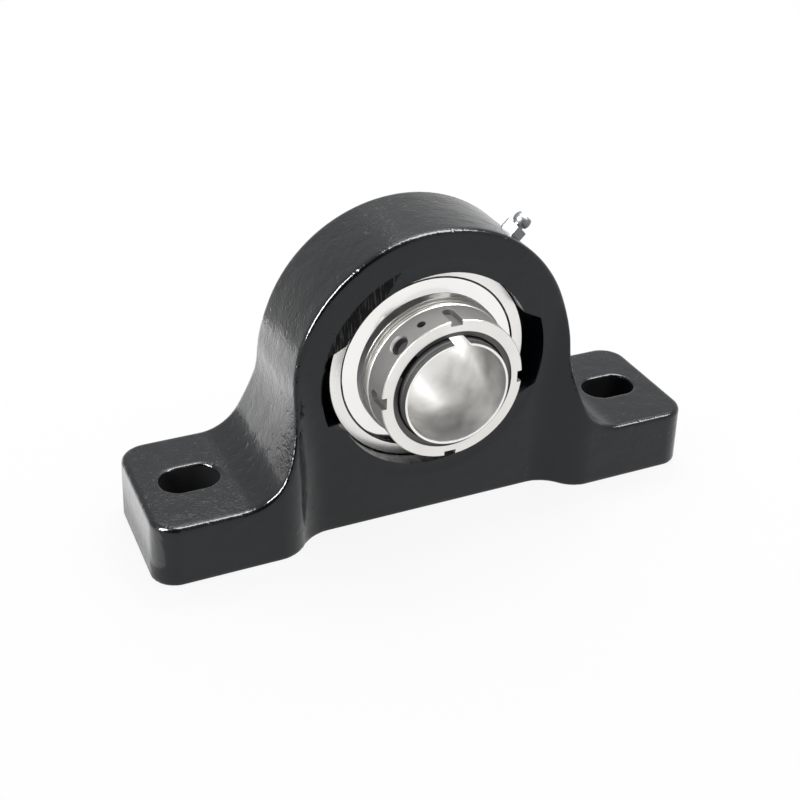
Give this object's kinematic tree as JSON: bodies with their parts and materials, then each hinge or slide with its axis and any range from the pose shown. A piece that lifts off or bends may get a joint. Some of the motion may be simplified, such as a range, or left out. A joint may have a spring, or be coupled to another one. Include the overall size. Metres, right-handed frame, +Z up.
{
  "type": "mounted bearing",
  "caption": "Pillow block with a self-aligning ball bearing, a slit adapter sleeve drawn up by a lock nut, bright flingers and a grease fitting; carries a shaft above a flat base.",
  "frame": {"origin": "middle of the base underside, straight below the middle of the spherical seat", "axes": "+X along the base, +Y along the shaft towards the back, with the lock nut towards -Y, +Z up"},
  "size_m": [0.21, 0.0617, 0.1098],
  "materials": {
    "housing_paint": "black semi-gloss enamel over a sand-cast skin",
    "ring_steel": "ground bearing steel",
    "ball_steel": "lapped bearing steel",
    "cage_steel": "pressed steel sheet",
    "retainer_steel": "pressed steel sheet",
    "seal_rubber": "black nitrile rubber",
    "flinger_bright": "bright polished pressed steel",
    "sleeve_steel": "satin turned steel",
    "nut_steel": "turned steel, satin face",
    "spring_steel": "grey spring steel",
    "screw_black": "black oxide steel",
    "pad_brass": "soft brass",
    "fitting_zinc": "bright zinc plate"
  },
  "bodies": {
    "housing_unit": {"housing": "housing_paint", "grease_fitting": "fitting_zinc", "grease_spring": "spring_steel"},
    "outer_unit": {"outer_ring": "ring_steel", "front_seal_retainer": "retainer_steel", "rear_seal_retainer": "retainer_steel", "front_seal_lip": "seal_rubber", "rear_seal_lip": "seal_rubber"},
    "inner_unit": {"inner_ring": "ring_steel", "front_flinger": "flinger_bright", "rear_flinger": "flinger_bright"},
    "ball_unit": {"bearing_balls": "ball_steel", "cage_front_half": "cage_steel", "cage_rear_half": "cage_steel", "cage_rivets": "cage_steel"},
    "nut_unit": {"adapter_nut": "nut_steel", "nut_keeper_ring": "spring_steel", "nut_retaining_ring": "spring_steel", "lock_pad": "pad_brass"},
    "sleeve_unit": {"adapter_sleeve": "sleeve_steel"},
    "screw_unit": {"lock_screw": "screw_black"},
    "check_ball_unit": {"grease_check_ball": "ball_steel"}
  },
  "joints": [
    {"name": "align_tilt", "type": "hinge", "parent": "housing_unit", "child": "outer_unit", "pos_m": [0, 0, 0.05715], "axis": [1, 0, 0], "range_deg": [-2, 2]},
    {"name": "shaft_spin", "type": "hinge", "parent": "outer_unit", "child": "inner_unit", "pos_m": [0, 0, 0.05715], "axis": [0, -1, 0], "continuous": true},
    {"name": "cage_orbit", "type": "hinge", "parent": "outer_unit", "child": "ball_unit", "pos_m": [0, 0, 0.05715], "axis": [0, -1, 0], "continuous": true},
    {"name": "nut_turn", "type": "hinge", "parent": "inner_unit", "child": "nut_unit", "pos_m": [0, 0, 0.05715], "axis": [0, -1, 0], "range_deg": [0, 360]},
    {"name": "sleeve_slide", "type": "slide", "parent": "inner_unit", "child": "sleeve_unit", "axis": [0, 1, 0], "range_m": [0, 0.0015]},
    {"name": "lock_screw_travel", "type": "slide", "parent": "nut_unit", "child": "screw_unit", "axis": [-0.3907, 0, 0.9205], "range_m": [0, 0.0011]},
    {"name": "check_ball_press", "type": "slide", "parent": "housing_unit", "child": "check_ball_unit", "axis": [-0.7071, 0, -0.7071], "range_m": [0, 0.0008], "stiffness_N_per_m": 60, "springref_m": -0.002, "deforming": ["grease_spring"]}
  ],
  "couplings": [
    {"joint": "cage_orbit", "follows": "shaft_spin", "ratio": 0.4075},
    {"joint": "sleeve_slide", "follows": "nut_turn", "m_per_rad": 0.00022458}
  ]
}
